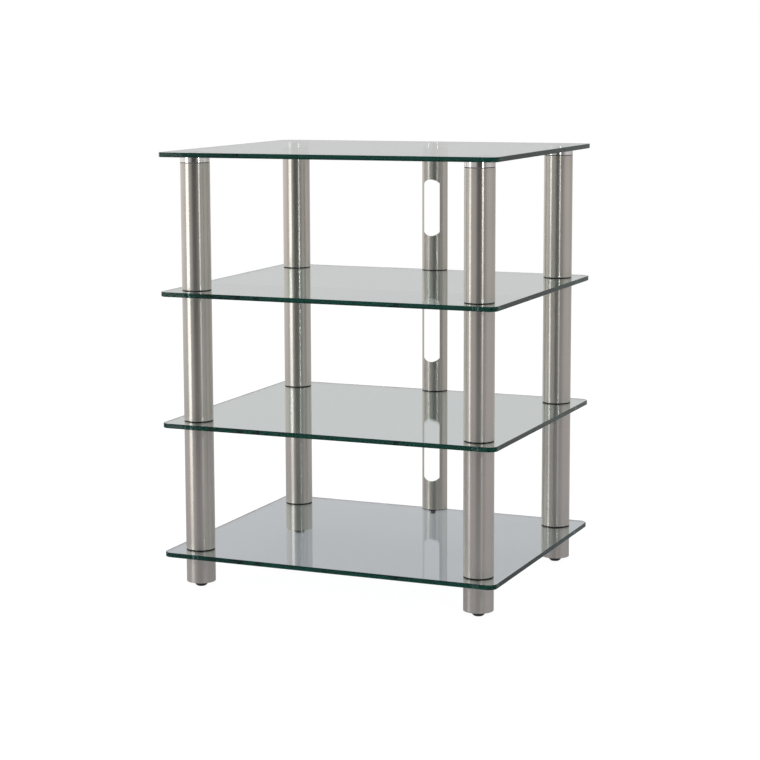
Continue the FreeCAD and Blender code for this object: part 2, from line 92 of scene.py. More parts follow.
class Graph:  # a shader, world or geometry tree that is filled node by node
    def __init__(self, tree):
        self.tree = tree
        tree.nodes.clear()

    def add(self, kind, settings=None, inputs=None, output=0):
        node = self.tree.nodes.new(kind)
        for name, value in (settings or {}).items():
            if name == "stops":
                self.fillRamp(node.color_ramp, value)
            else:
                setattr(node, name, value)
        for key, value in (inputs or {}).items():
            if isinstance(value, Wire):
                self.tree.links.new(value.socket, node.inputs[key])
            else:
                node.inputs[key].default_value = value
        return Wire(self, node.outputs[output]) if node.outputs else None

    def fillRamp(self, ramp, stops):
        while len(ramp.elements) < len(stops):
            ramp.elements.new(1)
        for element, (place, colour) in zip(ramp.elements, stops):
            element.position = place
            element.color = colour

    def maths(self, operation, *values):
        inputs = dict(enumerate(values))
        return self.add("ShaderNodeMath", {"operation": operation}, inputs)

    def vector(self, operation, first, second):
        inputs = {0: first, 1: second}
        return self.add("ShaderNodeVectorMath", {"operation": operation}, inputs)

    def mixColour(self, factor, first, second):
        return self.add("ShaderNodeMix", {"data_type": "RGBA"}, {0: factor, 6: first, 7: second},
                        output=2)

    def spread(self, value, low, high, newLow=0, newHigh=1):  # smooth step to another range
        settings = {"interpolation_type": "SMOOTHSTEP"}
        return self.add("ShaderNodeMapRange", settings,
                        {0: value, 1: low, 2: high, 3: newLow, 4: newHigh})

    def noise(self, where, scale, detail=2.0, roughness=0.5):
        inputs = {"Vector": where, "Scale": scale, "Detail": detail, "Roughness": roughness}
        return self.add("ShaderNodeTexNoise", None, inputs)

    def streaks(self, where, perMetre, detail=2.0, roughness=0.5):  # noise stretched along an axis
        return self.noise(self.vector("MULTIPLY", where, perMetre), 1, detail, roughness)

    def objectPlace(self):
        return self.add("ShaderNodeTexCoord").out("Object")

    def split(self, where):
        return self.add("ShaderNodeSeparateXYZ", None, {0: where})


def newMaterial(name, build):
    material = bpy.data.materials.new(name)
    material.use_nodes = True
    graph = Graph(material.node_tree)
    surface, volume = build(graph)
    inputs = {"Surface": surface}
    if volume:
        inputs["Volume"] = volume
    graph.add("ShaderNodeOutputMaterial", None, inputs)
    return material


def bump(graph, height, strength, distance):
    inputs = {"Height": height, "Strength": strength, "Distance": distance}
    return graph.add("ShaderNodeBump", None, inputs)


steel = {
    "colour": (0.615, 0.592, 0.536, 1),
    "dullColour": (0.556, 0.534, 0.480, 1),
    "roughness": 0.31,
    "hairlineRoughness": 0.07,
    "hairlines": (35, 35, 2600),  # per metre round the tube and up it
    "hairlineShare": 0.6,  # of the shading; the patches have the rest
    "patches": 9,
    "toneRange": (0.3, 0.7),
    "anisotropy": 0.9,
    "turn": 0.25,
    "bump": (0.04, 0.00002),  # strength and height
}
foldedSteel = steel | {"roughness": 0.40, "anisotropy": 0.8}  # the column's coarser brushing


def brushedSteel(graph, finish=steel):  # fine lines round the tube spread reflections upright
    place = graph.objectPlace()
    lines = graph.streaks(place, finish["hairlines"], detail=3, roughness=0.6)
    patches = graph.noise(place, finish["patches"])
    tone = lines * finish["hairlineShare"] + patches * (1 - finish["hairlineShare"])
    colour = graph.mixColour(graph.spread(tone, *finish["toneRange"]), finish["dullColour"],
                             finish["colour"])
    roughness = finish["roughness"] + (lines - 0.5) * finish["hairlineRoughness"]
    surface = graph.add("ShaderNodeBsdfPrincipled", None, {
        "Base Color": colour, "Metallic": 1, "Roughness": roughness,
        "Anisotropic": finish["anisotropy"], "Anisotropic Rotation": finish["turn"],
        "Normal": bump(graph, lines, *finish["bump"])})
    return surface, None


glass = {
    "wallShadeShare": 0.22,  # share of the light that each kind of edge scatters; on the walls and bevels the scattered part is a painted dark shade
    "bevelFrostAndShade": 0.30,
    "holeFrost": 0.40,
    # painted shade: a dark green scattered by the walls and bevels so that the edges look darker
    "paintedEdgeShade": (0.06, 0.14, 0.125, 1),
    "holeColour": (0.80, 0.95, 0.91, 1),
    "mirrorTint": (0.3, 0.3, 0.3, 1),
    "groundRoughness": 0.15,
    "grinding": (60, 60, 4000),  # marks per metre along an edge and through the sheet
    "grindingRoughness": 0.08,
    "chalkShare": 0.7,  # of the scattered light, the part sent back and not let through
    "refraction": 1.52,
    "density": 13.0,
    "tint": (0.0, 0.615, 0.55, 1),
}


def clearGlass(graph):  # polished faces, ground bevels and holes, and a green body; the walls and bevels scatter a painted dark shade
    ground = graph.add("ShaderNodeAttribute", {"attribute_name": "ground"}).out("Fac")
    place = graph.objectPlace()
    grinding = graph.streaks(place, glass["grinding"], roughness=0.6)
    rough = graph.spread(ground, glass["wallShadeShare"], glass["bevelFrostAndShade"])
    roughness = rough * (glass["groundRoughness"] + grinding * glass["grindingRoughness"])
    surface = graph.add("ShaderNodeBsdfPrincipled", None, {
        "Base Color": (1, 1, 1, 1), "Roughness": roughness, "IOR": glass["refraction"],
        "Specular Tint": glass["mirrorTint"], "Transmission Weight": 1})
    inHole = graph.spread(ground, glass["bevelFrostAndShade"], glass["holeFrost"])
    # the walls and bevels take the painted dark edge shade, and the holes a pale frost
    colour = graph.mixColour(inHole, glass["paintedEdgeShade"], glass["holeColour"])
    frost = graph.add("ShaderNodeBsdfTranslucent", None, {"Color": colour})
    chalk = graph.add("ShaderNodeBsdfDiffuse", None, {"Color": colour})
    frostAndPaintedShade = graph.add("ShaderNodeMixShader", None,
                        {0: glass["chalkShare"], 1: frost, 2: chalk})
    surface = graph.add("ShaderNodeMixShader", None, {0: ground, 1: surface, 2: frostAndPaintedShade})
    body = graph.add("ShaderNodeVolumeAbsorption", None,
                     {"Color": glass["tint"], "Density": glass["density"]})
    return surface, body


polish = {
    "colour": (0.78, 0.775, 0.765, 1),
    "hazeColour": (0.70, 0.695, 0.685, 1),
    "roughness": 0.07,
    "haze": 40,
    "hazeRange": (0.35, 0.7),
    "rings": (50, 50, 3500),
    "unevenness": 0.03,
}


def polishedMetal(graph):
    place = graph.objectPlace()
    haze = graph.noise(place, polish["haze"], detail=3, roughness=0.6)
    rings = graph.streaks(place, polish["rings"])
    colour = graph.mixColour(graph.spread(haze, *polish["hazeRange"]), polish["colour"],
                             polish["hazeColour"])
    uneven = polish["unevenness"]
    surface = graph.add("ShaderNodeBsdfPrincipled", None, {
        "Base Color": colour, "Metallic": 1,
        "Roughness": polish["roughness"] + haze * uneven + rings * uneven})
    return surface, None


rubber = {
    "colour": (0.018, 0.018, 0.019, 1),
    "dustColour": (0.05, 0.05, 0.05, 1),
    "roughness": 0.62,
    "dust": 160,
    "dustRange": (0.5, 0.8),
    "dustShare": 0.6,
    "grain": 1800,
    "grainRoughness": 0.15,
    "bump": (0.25, 0.0001),
}


def blackRubber(graph):
    place = graph.objectPlace()
    dust = graph.noise(place, rubber["dust"], detail=4, roughness=0.7)
    grain = graph.noise(place, rubber["grain"])
    dusty = graph.spread(dust, *rubber["dustRange"], 0, rubber["dustShare"])
    surface = graph.add("ShaderNodeBsdfPrincipled", None, {
        "Base Color": graph.mixColour(dusty, rubber["colour"], rubber["dustColour"]),
        "Roughness": rubber["roughness"] + (grain - 0.5) * rubber["grainRoughness"],
        "Normal": bump(graph, grain, *rubber["bump"])})
    return surface, None


zinc = {
    "colour": (0.62, 0.63, 0.65, 1),
    "spangleColour": (0.50, 0.51, 0.53, 1),
    "roughness": 0.30,
    "spangle": 420,
    "spangleRoughness": 0.08,
    "cloud": 90,
    "cloudShare": 0.5,
}


def zincPlate(graph):
    place = graph.objectPlace()
    crystals = graph.add("ShaderNodeTexVoronoi", {"feature": "F1"},
                         {"Vector": place, "Scale": zinc["spangle"]}).out("Color")
    shade = graph.add("ShaderNodeSeparateColor", None, {0: crystals})
    cloud = graph.noise(place, zinc["cloud"], detail=3, roughness=0.6)
    tone = shade * (1 - zinc["cloudShare"]) + cloud * zinc["cloudShare"]
    surface = graph.add("ShaderNodeBsdfPrincipled", None, {
        "Base Color": graph.mixColour(tone, zinc["colour"], zinc["spangleColour"]),
        "Metallic": 1, "Roughness": zinc["roughness"] + shade * zinc["spangleRoughness"]})
    return surface, None


turning = {
    "colour": (0.72, 0.72, 0.72, 1),
    "grooveColour": (0.60, 0.60, 0.60, 1),
    "roughness": 0.28,
    "postGrid": (0.254, 0.202),  # half the spacing of the posts
    "gridMiddle": 0.0025,
    "groovesPerMetre": 2600,
    "ridgeRoughness": 0.08,
    "bump": (0.15, 0.00003),
}


def turnedAluminium(graph):  # rings round each post's own axis
    place = graph.split(graph.objectPlace())
    across = abs(place.out("X")) - turning["postGrid"][0]
    back = abs(place.out("Y") - turning["gridMiddle"]) - turning["postGrid"][1]
    radius = (across * across + back * back).maths("SQRT")
    grooves = turning["groovesPerMetre"]
    wave = (radius * grooves + place.out("Z") * grooves).maths("FRACT")
    ridge = abs(wave - 0.5) * 2
    surface = graph.add("ShaderNodeBsdfPrincipled", None, {
        "Base Color": graph.mixColour(ridge, turning["grooveColour"], turning["colour"]),
        "Metallic": 1, "Roughness": turning["roughness"] + ridge * turning["ridgeRoughness"],
        "Normal": bump(graph, ridge, *turning["bump"])})
    return surface, None


milling = {
    "colour": (0.70, 0.70, 0.70, 1),
    "markColour": (0.58, 0.58, 0.58, 1),
    "roughness": 0.32,
    "marks": (60, 2400, 2400),
    "markRange": (0.3, 0.7),
    "markRoughness": 0.1,
    "bump": (0.08, 0.00003),
}


def milledAluminium(graph):
    marks = graph.streaks(graph.objectPlace(), milling["marks"], roughness=0.6)
    colour = graph.mixColour(graph.spread(marks, *milling["markRange"]), milling["markColour"],
                             milling["colour"])
    surface = graph.add("ShaderNodeBsdfPrincipled", None, {
        "Base Color": colour, "Metallic": 1,
        "Roughness": milling["roughness"] + marks * milling["markRoughness"],
        "Normal": bump(graph, marks, *milling["bump"])})
    return surface, None


moulded = {
    "colour": (0.012, 0.012, 0.013, 1),
    "scuffColour": (0.06, 0.06, 0.06, 1),
    "roughness": 0.34,
    "texture": 900,
    "textureRoughness": 0.1,
    "scuffHeight": 0.0015,
    "scuffRoughness": 0.3,
    "bump": (0.1, 0.0001),
}


def mouldedPad(graph):  # satin moulding, scuffed grey where it stands
    place = graph.objectPlace()
    height = graph.split(place).out("Z")
    texture = graph.noise(place, moulded["texture"], detail=3, roughness=0.6)
    scuff = graph.spread(height, 0, moulded["scuffHeight"], 1, 0) * texture
    roughness = moulded["roughness"] + scuff * moulded["scuffRoughness"]
    surface = graph.add("ShaderNodeBsdfPrincipled", None, {
        "Base Color": graph.mixColour(scuff, moulded["colour"], moulded["scuffColour"]),
        "Roughness": roughness + texture * moulded["textureRoughness"],
        "Normal": bump(graph, texture, *moulded["bump"])})
    return surface, None


oxide = {
    "colour": (0.022, 0.022, 0.024, 1),
    "wornColour": (0.10, 0.10, 0.105, 1),
    "metallic": 0.9,
    "roughness": 0.42,
    "wear": 700,
    "wearRange": (0.5, 0.75),
    "wearPolish": 0.1,
}


def blackOxide(graph):
    spots = graph.noise(graph.objectPlace(), oxide["wear"], detail=4, roughness=0.7)
    wear = graph.spread(spots, *oxide["wearRange"])
    surface = graph.add("ShaderNodeBsdfPrincipled", None, {
        "Base Color": graph.mixColour(wear, oxide["colour"], oxide["wornColour"]),
        "Metallic": oxide["metallic"],
        "Roughness": oxide["roughness"] - wear * oxide["wearPolish"]})
    return surface, None


finishes = {
    "clear_glass": newMaterial("clearGlass", clearGlass),
    "brushed_tube": newMaterial("brushedTube", brushedSteel),
    "brushed_column": newMaterial("brushedColumn",
                                  lambda graph: brushedSteel(graph, foldedSteel)),
    "polished_disc": newMaterial("polishedDisc", polishedMetal),
    "black_rubber": newMaterial("blackRubber", blackRubber),
    "zinc_stud": newMaterial("zincStud", zincPlate),
    "turned_plug": newMaterial("turnedPlug", turnedAluminium),
    "column_plate": newMaterial("columnPlate", milledAluminium),
    "foot_pad": newMaterial("footPad", mouldedPad),
    "foot_stud": newMaterial("footStud", blackOxide),
    "black_screw": newMaterial("blackScrew", blackOxide),
}
slotOf = {part["node"]: part["material_slot"] for part in frame["record"]["subparts"]}
for nodeName, node in frame["nodes"].items():
    for materialSlot in node.material_slots:
        materialSlot.material = finishes[slotOf[nodeName]]
print("finishes made:", len(finishes))


def newPiece(name, shape, node, body="rack", sharp=30):  # edges over this many degrees stay sharp
    mesh = bpy.data.meshes.new(name)
    shape.to_mesh(mesh)
    shape.free()
    return dressPiece(bpy.data.objects.new(name, mesh), node, body, sharp)


def dressPiece(piece, node, body, sharp):  # smooth shading, finish, and its place in the rack
    if piece.name not in bpy.context.scene.objects:
        bpy.context.scene.collection.objects.link(piece)
    mesh = piece.data
    mesh.polygons.foreach_set("use_smooth", [True] * len(mesh.polygons))
    mesh.set_sharp_from_angle(angle=math.radians(sharp))
    if not mesh.materials:
        mesh.materials.append(finishes[slotOf[node]])
    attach(piece, body)
    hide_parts(node)
    return piece


def circlePlan(centre, radius, steps):
    return [(centre[0] + radius * math.cos(math.tau * i / steps),
             centre[1] + radius * math.sin(math.tau * i / steps)) for i in range(steps)]


def turn(shape, outline, centre, steps):
    # a closed outline of (radius, height), turned about an upright axis; radius 0 closes on it
    rings = []
    for radius, height in outline:
        if radius == 0:
            rings.append([shape.verts.new((centre.x, centre.y, height))])
            continue
        rings.append([shape.verts.new((x, y, height))
                      for x, y in circlePlan((centre.x, centre.y), radius, steps)])
    for first, second in zip(rings, rings[1:] + rings[:1]):
        if len(first) == len(second) == 1:
            continue
        for i in range(steps):
            j = (i + 1) % steps
            face = [first[i % len(first)], first[j % len(first)],
                    second[j % len(second)], second[i % len(second)]]
            shape.faces.new(list(dict.fromkeys(face)))


def faceOutwards(shape):
    bmesh.ops.recalc_face_normals(shape, faces=shape.faces)


def quarter(centre, radius, start, steps=4):
    # a rounded corner, from a start angle in degrees and a quarter turn on
    return [(centre[0] + radius * math.cos(math.radians(start + 90 * i / steps)),
             centre[1] + radius * math.sin(math.radians(start + 90 * i / steps)))
            for i in range(steps + 1)]


def middleOf(node):
    low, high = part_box(node)
    return (low + high) / 2


tube = {
    "wall": 1.5 * mm,
    "lip": 0.35 * mm,
    "keep": 0.3 * mm,  # straight part that holds the shading beside a lip
    "steps": 144,
}


def makeTube(node, name):  # drawn tube, with a small rolled lip at both ends
    low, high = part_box(node)
    outer = (high.x - low.x) / 2
    inner = outer - tube["wall"]
    lip, keep = tube["lip"], tube["keep"]
    outline = [(inner, low.z + keep), (inner + lip / 2, low.z)]
    outline += quarter((outer - lip, low.z + lip), lip, 270)
    outline += [(outer, low.z + lip + keep), (outer, high.z - lip - keep)]
    outline += quarter((outer - lip, high.z - lip), lip, 0)
    outline += [(inner + lip / 2, high.z), (inner, high.z - keep)]
    shape = bmesh.new()
    turn(shape, outline, middleOf(node), tube["steps"])
    faceOutwards(shape)
    newPiece(name, shape, node)


for corner in corners:
    makeTube(f"leg_{corner}", f"leg_tube_{corner}")
    for bay in bays:
        makeTube(f"{bay}_post_{corner}", f"{bay}_tube_{corner}")
print("tubes made")


shelf = {
    "cornerRadius": 15 * mm,
    "arris": 0.6 * mm,
    "holeArris": 0.3 * mm,
    "gap": 0.02 * mm,  # air film between the glass and what touches it
    "cornerSteps": 24,
    "holeSteps": 64,
    "studHole": 6 * mm,
    "columnHole": 4 * mm,
}


def roundedPlan(low, high, radius, inset, steps):
    points = []
    places = ((high.x, high.y), (low.x, high.y), (low.x, low.y), (high.x, low.y))
    for index, (x, y) in enumerate(places):
        centreX = x - math.copysign(radius, x)
        centreY = y - math.copysign(radius, y)
        for i in range(steps + 1):
            angle = math.radians(90 * (index + i / steps))
            points.append((centreX + (radius - inset) * math.cos(angle),
                           centreY + (radius - inset) * math.sin(angle)))
    return points


def bevelledWall(shape, wide, narrow, low, high, arris, frosts):
    # the wall of an outline or hole: the glass is narrow at its two faces, wide between the bevels
    ground = shape.faces.layers.float["groundFace"]
    levels = ((narrow, low), (wide, low + arris), (wide, high - arris), (narrow, high))
    rings = [[shape.verts.new((x, y, z)) for x, y in plan] for plan, z in levels]
    for index, (first, second) in enumerate(zip(rings, rings[1:])):
        for i in range(len(first)):
            j = (i + 1) % len(first)
            face = shape.faces.new((first[i], first[j], second[j], second[i]))
            face[ground] = frosts[index]
    return rings[0], rings[-1]


def ringEdges(shape, ring):
    return [shape.edges.get((ring[i], ring[(i + 1) % len(ring)])) for i in range(len(ring))]


def makeShelf(node, name, holes):
    low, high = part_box(node)
    bottom, top = low.z + shelf["gap"], high.z - (0 if node == "top_shelf" else shelf["gap"])
    shape = bmesh.new()
    ground = shape.faces.layers.float.new("groundFace")
    radius, arris = shelf["cornerRadius"], shelf["arris"]
    wide = roundedPlan(low, high, radius, 0, shelf["cornerSteps"])
    narrow = roundedPlan(low, high, radius, arris, shelf["cornerSteps"])
    edgeShadeShares = (glass["bevelFrostAndShade"], glass["wallShadeShare"], glass["bevelFrostAndShade"])
    holeFrosts = (glass["holeFrost"],) * 3
    loops = [bevelledWall(shape, wide, narrow, bottom, top, arris, edgeShadeShares)]
    for centre, size in holes:
        wide = circlePlan(centre, size, shelf["holeSteps"])
        narrow = circlePlan(centre, size + shelf["holeArris"], shelf["holeSteps"])
        loops.append(bevelledWall(shape, wide, narrow, bottom, top, shelf["holeArris"],
                                  holeFrosts))
    for end in (0, 1):
        edges = [edge for pair in loops for edge in ringEdges(shape, pair[end])]
        bmesh.ops.triangle_fill(shape, use_beauty=True, edges=edges)
    faceOutwards(shape)
    groundFaces = [face[ground] for face in shape.faces]
    shape.faces.layers.float.remove(ground)
    piece = newPiece(name, shape, node)
    attribute = piece.data.attributes.new("ground", "FLOAT", "FACE")
    attribute.data.foreach_set("value", groundFaces)


postCentres = {corner: middleOf(f"leg_{corner}") for corner in corners}
columnBolt = middleOf("column_washer")
drilled = [((centre.x, centre.y), shelf["studHole"]) for centre in postCentres.values()]
drilled.append(((columnBolt.x, columnBolt.y), shelf["columnHole"]))
for shelfName in shelfNames:
    makeShelf(shelfName, shelfName.replace("shelf", "glass"),
              [] if shelfName == "top_shelf" else drilled)
print("glass made")


disc = {
    "bore": 4 * mm,
    "boreDepth": 8 * mm,
    "edge": 0.4 * mm,
    "keep": 0.2 * mm,  # flat part that holds the shading beside the lower edge
    "topEdge": 0.1 * mm,
    "topKeep": 0.3 * mm,
    "sideKeep": 0.4 * mm,
    "steps": 144,
}


def makeDisc(node, name):  # polished disc with a blind thread below
    low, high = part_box(node)
    radius = (high.x - low.x) / 2
    edge, keep, topEdge = disc["edge"], disc["keep"], disc["topEdge"]
    bore, roof = disc["bore"], low.z + disc["boreDepth"]
    outline = [(0, roof), (bore, roof), (bore, low.z), (radius - edge - keep, low.z)]
    outline += quarter((radius - edge, low.z + edge), edge, 270)
    outline += [(radius, low.z + edge + keep), (radius, high.z - disc["sideKeep"])]
    outline += quarter((radius - topEdge, high.z - topEdge), topEdge, 0, 2)
    outline += [(radius - disc["topKeep"], high.z), (0, high.z)]
    shape = bmesh.new()
    turn(shape, outline, middleOf(node), disc["steps"])
    faceOutwards(shape)
    newPiece(name, shape, node)


for corner in corners:
    makeDisc(f"top_disc_{corner}", f"glass_disc_{corner}")
print("discs made")


column = {
    "wall": 1.5 * mm,
    "slotHalfWidth": 15.5 * mm,
    "slotLength": {"lower": 111.5 * mm, "middle": 111.5 * mm, "upper": 103 * mm},
    "slotTop": 165 * mm,
    "slotEndRadius": 20 * mm,
    "sideSteps": 24,
    "slotSteps": 32,
}


def makeColumn(bay):  # half-round shell, open at the back, with one slot cut straight through
    node = f"{bay}_column"
    low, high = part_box(node)
    outer = (high.x - low.x) / 2
    inner = outer - column["wall"]
    centre = Vector(((low.x + high.x) / 2, high.y, 0))
    half = column["slotHalfWidth"]
    slotTop, arch = low.z + column["slotTop"], column["slotEndRadius"]
    slotHigh = slotTop - arch  # the two heights that the arches are struck from
    slotLow = slotTop - column["slotLength"][bay] + arch
    rows = []
    for side in (-1, 1):
        place = []
        for i in range(column["sideSteps"] + 1):
            share = i / column["sideSteps"]
            angles = [math.pi / 2 + (math.asin(half / radius) - math.pi / 2) * share
                      for radius in (outer, inner)]
            place.append((side * math.sin(angles[0]), math.cos(angles[0]),
                          side * math.sin(angles[1]), math.cos(angles[1]), half))
        rows.append(place)
    left, right = rows
    middle = []
    for i in range(1, column["slotSteps"]):
        x = half * (2 * i / column["slotSteps"] - 1)
        middle.append((x / outer, math.sqrt(1 - (x / outer) ** 2),
                       x / inner, math.sqrt(1 - (x / inner) ** 2), abs(x)))
    stations = left + middle + right[::-1]
    slotFrom, slotTo = len(left) - 1, len(left) + len(middle)
    shape = bmesh.new()
    grid = []
    for outX, outY, inX, inY, offset in stations:
        rise = math.sqrt(arch ** 2 - offset ** 2)
        heights = (low.z, slotLow - rise, slotHigh + rise, high.z)
        grid.append([[shape.verts.new((centre.x + outer * outX, centre.y - outer * outY, z))
                      for z in heights],
                     [shape.verts.new((centre.x + inner * inX, centre.y - inner * inY, z))
                      for z in heights]])
    for i in range(len(grid) - 1):
        inSlot = slotFrom <= i < slotTo
        for wall in (0, 1):
            for level in range(3):
                if level == 1 and inSlot:
                    continue
                a, b = grid[i][wall], grid[i + 1][wall]
                shape.faces.new((a[level], b[level], b[level + 1], a[level + 1]))
        for level in (0, 3, *((1, 2) if inSlot else ())):
            shape.faces.new((grid[i][0][level], grid[i + 1][0][level],
                             grid[i + 1][1][level], grid[i][1][level]))
    for i in (0, len(grid) - 1):
        for level in range(3):
            shape.faces.new((grid[i][0][level], grid[i][0][level + 1],
                             grid[i][1][level + 1], grid[i][1][level]))
    for i in (slotFrom, slotTo):
        shape.faces.new((grid[i][0][1], grid[i][0][2], grid[i][1][2], grid[i][1][1]))
    faceOutwards(shape)
    newPiece(f"{bay}_shell", shape, node)


for bay in bays:
    makeColumn(bay)
print("column made")


def newTree(name, inputs):
    tree = bpy.data.node_groups.new(name, "GeometryNodeTree")
    tree.interface.new_socket("Geometry", in_out="OUTPUT", socket_type="NodeSocketGeometry")
    for label, kind in inputs.items():
        tree.interface.new_socket(label, in_out="INPUT", socket_type=f"NodeSocket{kind}")
    return tree


def grow(tree, name, values):  # run a tree with its inputs and keep the plain mesh
    holder = bpy.data.objects.new(f"{name}_holder", bpy.data.meshes.new(f"{name}_holder"))
    bpy.context.scene.collection.objects.link(holder)
    modifier = holder.modifiers.new("grow", "NODES")
    modifier.node_group = tree
    for item in tree.interface.items_tree:
        if item.in_out == "INPUT":
            modifier[item.identifier] = values[item.name]
    evaluated = holder.evaluated_get(bpy.context.evaluated_depsgraph_get())
    mesh = bpy.data.meshes.new_from_object(evaluated)
    holder.modifiers.remove(modifier)
    bpy.data.objects.remove(holder)
    mesh.name = name
    return bpy.data.objects.new(name, mesh)


def atEachPost(graph, geometry, group):  # copies on a two by two grid
    grid = graph.add("GeometryNodeMeshGrid", None, {
        "Size X": group.out("Spacing X"), "Size Y": group.out("Spacing Y"),
        "Vertices X": 2, "Vertices Y": 2})
    copies = graph.add("GeometryNodeInstanceOnPoints", None,
                       {"Points": grid, "Instance": geometry})
    real = graph.add("GeometryNodeRealizeInstances", None, {0: copies})
    placed = graph.add("GeometryNodeTransform", None,
                       {"Geometry": real, "Translation": group.out("Centre")})
    dressed = graph.add("GeometryNodeSetMaterial", None,
                        {"Geometry": placed, "Material": group.out("Finish")})
    graph.add("NodeGroupOutput", None, {0: dressed})


gasket = {
    "hole": 6 * mm,
    "round": 0.3 * mm,
    "roundSteps": 3,
    "steps": 120,
    "sharp": 60,  # degrees
}


def gasketTree():  # a rounded rectangle swept round a circle, once at each post
    tree = newTree("gasketRings", {
        "Outer": "Float", "Hole": "Float", "Thickness": "Float", "Round": "Float", "Steps": "Int",
        "Spacing X": "Float", "Spacing Y": "Float", "Centre": "Vector", "Finish": "Material"})
    graph = Graph(tree)
    group = graph.add("NodeGroupInput")
    outer, hole = group.out("Outer"), group.out("Hole")
    section = graph.add("GeometryNodeCurvePrimitiveQuadrilateral", {"mode": "RECTANGLE"},
                        {"Width": outer - hole, "Height": group.out("Thickness")})
    rounded = graph.add("GeometryNodeFilletCurve", {"mode": "POLY"},
                        {"Curve": section, "Radius": group.out("Round"),
                         "Count": gasket["roundSteps"]})
    path = graph.add("GeometryNodeCurvePrimitiveCircle", {"mode": "RADIUS"},
                     {"Resolution": group.out("Steps"), "Radius": (outer + hole) * 0.5})
    ring = graph.add("GeometryNodeCurveToMesh", None, {"Curve": path, "Profile Curve": rounded})
    atEachPost(graph, ring, group)
    return tree


rings = gasketTree()
gridCentre = sum(postCentres.values(), Vector()) / len(corners)
spacingX = postCentres["front_right"].x - postCentres["front_left"].x
spacingY = postCentres["back_left"].y - postCentres["front_left"].y
gasketNodes = [name for name in frame["nodes"]
               if name.endswith("gaskets") and name != "column_gaskets"]
for gasketNode in sorted(gasketNodes):
    low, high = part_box(gasketNode)
    piece = grow(rings, gasketNode.replace("gaskets", "rings"), {
        "Outer": (high.x - low.x - spacingX) / 2, "Hole": gasket["hole"],
        "Thickness": high.z - low.z, "Round": gasket["round"], "Steps": gasket["steps"],
        "Spacing X": spacingX, "Spacing Y": spacingY,
        "Centre": (gridCentre.x, gridCentre.y, (low.z + high.z) / 2),
        "Finish": finishes["black_rubber"]})
    dressPiece(piece, gasketNode, "rack", gasket["sharp"])
print("gaskets made")


thread = {
    "pitch": 1.25 * mm,
    "depth": 0.61,  # shares of the pitch: how deep it is, and how wide its crest and root are
    "crest": 0.125,
    "root": 0.25,
    "ringsPerTurn": 8,
    "steps": 40,
    "sharp": 60,
}


def threadTree():  # a round bar whose radius follows a helix, bevelled at both ends
    tree = newTree("threadedStud", {
        "Radius": "Float", "Length": "Float", "Pitch": "Float", "Depth": "Float", "Point": "Float",
        "Rings": "Int", "Steps": "Int", "Spacing X": "Float", "Spacing Y": "Float",
        "Centre": "Vector", "Finish": "Material"})
    graph = Graph(tree)
    group = graph.add("NodeGroupInput")
    length, radius = group.out("Length"), group.out("Radius")
    bar = graph.add("GeometryNodeMeshCylinder", {"fill_type": "NGON"}, {
        "Vertices": group.out("Steps"), "Side Segments": group.out("Rings"),
        "Radius": radius, "Depth": length})
    place = graph.split(graph.add("GeometryNodeInputPosition"))
    x, y, z = place.out("X"), place.out("Y"), place.out("Z")
    reach = (x * x + y * y).maths("SQRT")
    turns = y.maths("ARCTAN2", x) / math.tau
    phase = (z / group.out("Pitch") - turns).maths("FRACT")
    ramp = abs(phase - 0.5) * 2  # 0 in the root, 1 on the crest
    depth = 1 - (ramp - thread["root"]) / (1 - thread["crest"] - thread["root"])
    groove = depth.maths("MAXIMUM", 0).maths("MINIMUM", 1) * group.out("Depth")
    pointed = radius - group.out("Point") + (length * 0.5 - abs(z))
    wanted = (radius - groove).maths("MINIMUM", pointed)
    scale = wanted / reach
    moved = graph.add("ShaderNodeCombineXYZ", None, {0: x * scale, 1: y * scale, 2: z})
    cut = graph.add("GeometryNodeSetPosition", None, {"Geometry": bar, "Position": moved})
    atEachPost(graph, cut, group)
    return tree


threads = threadTree()


def makeThreads(name, low, high, radius, point, centre, spacing, slotName):
    length, pitch = high - low, thread["pitch"]
    return grow(threads, name, {
        "Radius": radius, "Length": length, "Pitch": pitch, "Depth": pitch * thread["depth"],
        "Point": point, "Rings": round(length / pitch * thread["ringsPerTurn"]),
        "Steps": thread["steps"], "Spacing X": spacing[0], "Spacing Y": spacing[1],
        "Centre": (centre.x, centre.y, (low + high) / 2), "Finish": finishes[slotName]})


postStud = {"radius": 4 * mm, "point": 1 * mm}
for studNode in ("bottom_shelf_studs", "lower_shelf_studs", "upper_shelf_studs", "top_disc_studs"):
    low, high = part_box(studNode)
    piece = makeThreads(studNode.replace("studs", "threads"), low.z, high.z, postStud["radius"],
                        postStud["point"], gridCentre, (spacingX, spacingY), "zinc_stud")
    dressPiece(piece, studNode, "rack", thread["sharp"])
print("studs made")


foot = {
    "buttonRadius": 4 * mm,
    "buttonLow": 2.52 * mm,
    "buttonHigh": 4.3 * mm,
    "neckRadius": 2.5 * mm,
    "flangeLow": 7 * mm,
    "flangeHigh": 9 * mm,
    "flangeFlats": 13 * mm,
    "flangeBevel": 0.5 * mm,
    "flangeSlope": 0.577,  # height of the bevel for its width, 30 degrees
    "flangeSteps": 72,
    "threadRadius": 4 * mm,
    "threadPoint": 1 * mm,
    "steps": 48,
    "sharp": 35,
}


